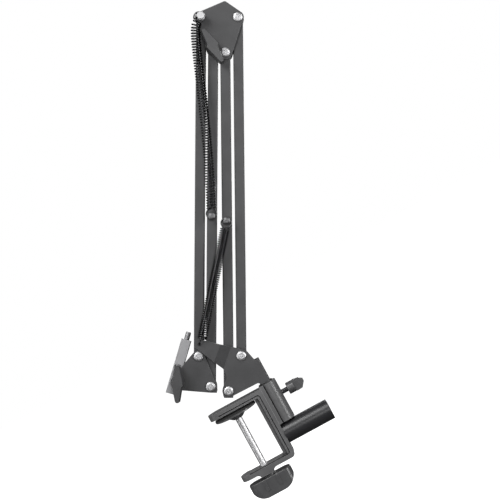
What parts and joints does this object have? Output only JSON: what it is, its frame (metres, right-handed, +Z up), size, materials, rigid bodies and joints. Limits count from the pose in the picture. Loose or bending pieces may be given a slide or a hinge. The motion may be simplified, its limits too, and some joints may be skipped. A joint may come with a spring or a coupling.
{
  "type": "folding microphone arm",
  "caption": "Two-section folding microphone suspension arm of square tube with balance springs, wing-knob joints, a tilting threaded end and a screw clamp for a desk.",
  "frame": {"origin": "middle of the upper jaw's underside, which rests on the desk top", "axes": "+Z up along the clamp screw; the arm folds in the XZ plane; the jaws open towards -X; the springs are on the -Y side"},
  "size_m": [0.2748, 0.0498, 0.508],
  "materials": {
    "powder_black_steel": "fine black powder coat",
    "cast_black": "satin black paint on casting",
    "gloss_black_tube": "semi-gloss black paint",
    "zinc": "bright zinc plate",
    "grey_steel": "grey zinc plate",
    "bright_screw": "bright rolled thread",
    "satin_aluminium": "satin",
    "spring_black": "black oxide wire",
    "black_plastic": "moulded, lightly textured",
    "black_rubber": "matt",
    "nylon": "black nylon",
    "black_spacer": "black oxide",
    "brass": "turned brass",
    "black_screw": "black oxide thread"
  },
  "bodies": {
    "clamp": {"clamp_frame": "cast_black", "pivot_socket": "cast_black", "side_socket": "gloss_black_tube", "clamp_nut": "grey_steel", "swivel_washer": "nylon"},
    "pad": {"pressure_disc": "black_plastic", "pad_rubber": "black_rubber"},
    "screw": {"clamp_screw": "bright_screw", "clamp_knob": "black_plastic"},
    "lock": {"lock_screw_shank": "black_screw", "lock_screw_thumb": "black_plastic"},
    "base": {"base_bracket": "powder_black_steel", "base_pin": "grey_steel", "base_rivets": "zinc"},
    "lower_main": {"lower_main_bar": "powder_black_steel", "lower_main_bushes": "nylon", "lower_spring_screw": "grey_steel", "lower_spring_spacer": "black_spacer", "lower_spring_nut": "grey_steel"},
    "lower_link": {"lower_link_bar": "powder_black_steel", "lower_link_bushes": "nylon"},
    "elbow": {"elbow_plate_front": "powder_black_steel", "elbow_plate_rear": "powder_black_steel", "elbow_rivets": "zinc", "elbow_bolt": "grey_steel", "spring_post_bolt": "zinc", "spring_post_washer": "zinc", "spring_post_sleeve": "black_spacer", "spring_post_nut": "zinc"},
    "elbow_wing": {"elbow_knob": "black_plastic", "elbow_knob_insert": "brass"},
    "upper_main": {"upper_main_bar": "powder_black_steel", "upper_main_bushes": "nylon", "upper_spring_screw": "grey_steel", "upper_spring_spacer": "black_spacer", "upper_spring_nut": "grey_steel"},
    "upper_link": {"upper_link_bar": "powder_black_steel", "upper_link_bushes": "nylon"},
    "end": {"end_plate_front": "powder_black_steel", "end_plate_rear": "powder_black_steel", "end_rivets": "zinc", "tilt_bolt": "grey_steel"},
    "microphone_end": {"microphone_bar": "satin_aluminium", "microphone_stud": "satin_aluminium", "tilt_washers": "nylon"},
    "tilt_wing": {"tilt_knob": "black_plastic", "tilt_knob_insert": "brass"},
    "lower_coils": {"lower_spring": "spring_black"},
    "lower_eye": {"lower_spring_eye": "spring_black"},
    "upper_coils": {"upper_spring": "spring_black"},
    "upper_eye": {"upper_spring_eye": "spring_black"}
  },
  "joints": [
    {"name": "pad_travel", "type": "slide", "parent": "clamp", "child": "pad", "axis": [0, 0, -1], "range_m": [0, 0.055]},
    {"name": "screw_spin", "type": "hinge", "parent": "pad", "child": "screw", "pos_m": [0, 0, -0.05], "axis": [0, 0, -1], "continuous": true},
    {"name": "lock_turn", "type": "hinge", "parent": "clamp", "child": "lock", "pos_m": [0.0675, 0, -0.0081], "axis": [1, 0, 0], "continuous": true},
    {"name": "arm_swivel", "type": "hinge", "parent": "clamp", "child": "base", "pos_m": [0.046, 0, 0.02], "axis": [0, 0, 1], "continuous": true},
    {"name": "lower_fold", "type": "hinge", "parent": "base", "child": "lower_main", "pos_m": [0.0053, 0, 0.0216], "axis": [0, -1, 0], "range_deg": [0, 110]},
    {"name": "lower_link_fold", "type": "hinge", "parent": "base", "child": "lower_link", "pos_m": [0.03621, 0, 0.04919], "axis": [0, -1, 0], "range_deg": [0, 110.05]},
    {"name": "elbow_level", "type": "hinge", "parent": "lower_main", "child": "elbow", "pos_m": [0.18031, 0, 0.35213], "axis": [0, -1, 0], "range_deg": [-110.05, 0]},
    {"name": "upper_fold", "type": "hinge", "parent": "elbow", "child": "upper_main", "pos_m": [0.1709, 0, 0.36283], "axis": [0, 1, 0], "range_deg": [0, 130]},
    {"name": "upper_link_fold", "type": "hinge", "parent": "elbow", "child": "upper_link", "pos_m": [0.17515, 0, 0.39852], "axis": [0, 1, 0], "range_deg": [0, 130.05]},
    {"name": "end_level", "type": "hinge", "parent": "upper_main", "child": "end", "pos_m": [-0.00985, 0, 0.0354], "axis": [0, 1, 0], "range_deg": [-130.05, 0]},
    {"name": "microphone_tilt", "type": "hinge", "parent": "end", "child": "microphone_end", "pos_m": [-0.03961, 0, 0.05645], "axis": [0, -1, 0], "range_deg": [0, 200]},
    {"name": "elbow_knob_turn", "type": "hinge", "parent": "elbow", "child": "elbow_wing", "pos_m": [0.1709, 0, 0.36283], "axis": [0, 1, 0], "range_deg": [0, 40]},
    {"name": "tilt_knob_turn", "type": "hinge", "parent": "end", "child": "tilt_wing", "pos_m": [-0.03961, 0, 0.05645], "axis": [0, 1, 0], "continuous": true},
    {"name": "lower_spring_swing", "type": "hinge", "parent": "base", "child": "lower_coils", "pos_m": [0.00163, 0, 0.08253], "axis": [0, -1, 0], "range_deg": [0, 141.99], "deforming": ["lower_spring"]},
    {"name": "lower_spring_stretch", "type": "slide", "parent": "lower_coils", "child": "lower_eye", "axis": [0.6568, 0, 0.7541], "range_m": [0, 0.04641], "deforming": ["lower_spring_eye"]},
    {"name": "upper_spring_swing", "type": "hinge", "parent": "elbow", "child": "upper_coils", "pos_m": [0.17515, 0, 0.39852], "axis": [0, 1, 0], "range_deg": [0, 127.36], "deforming": ["upper_spring"]},
    {"name": "upper_spring_stretch", "type": "slide", "parent": "upper_coils", "child": "upper_eye", "axis": [-0.4284, 0, -0.9036], "range_m": [-0.06463, 0], "deforming": ["upper_spring_eye"]}
  ],
  "couplings": [
    {"joint": "screw_spin", "follows": "pad_travel", "rad_per_m": 5026.5},
    {"joint": "lower_link_fold", "follows": "lower_fold", "ratio": 1},
    {"joint": "elbow_level", "follows": "lower_fold", "ratio": -1},
    {"joint": "upper_link_fold", "follows": "upper_fold", "ratio": 1},
    {"joint": "end_level", "follows": "upper_fold", "ratio": -1},
    {"joint": "lower_spring_swing", "follows": "lower_fold", "ratio": 1.2904},
    {"joint": "lower_spring_stretch", "follows": "lower_fold", "m_per_rad": 0.024149},
    {"joint": "upper_spring_swing", "follows": "upper_fold", "ratio": 0.9793},
    {"joint": "upper_spring_stretch", "follows": "upper_fold", "m_per_rad": -0.028465}
  ]
}
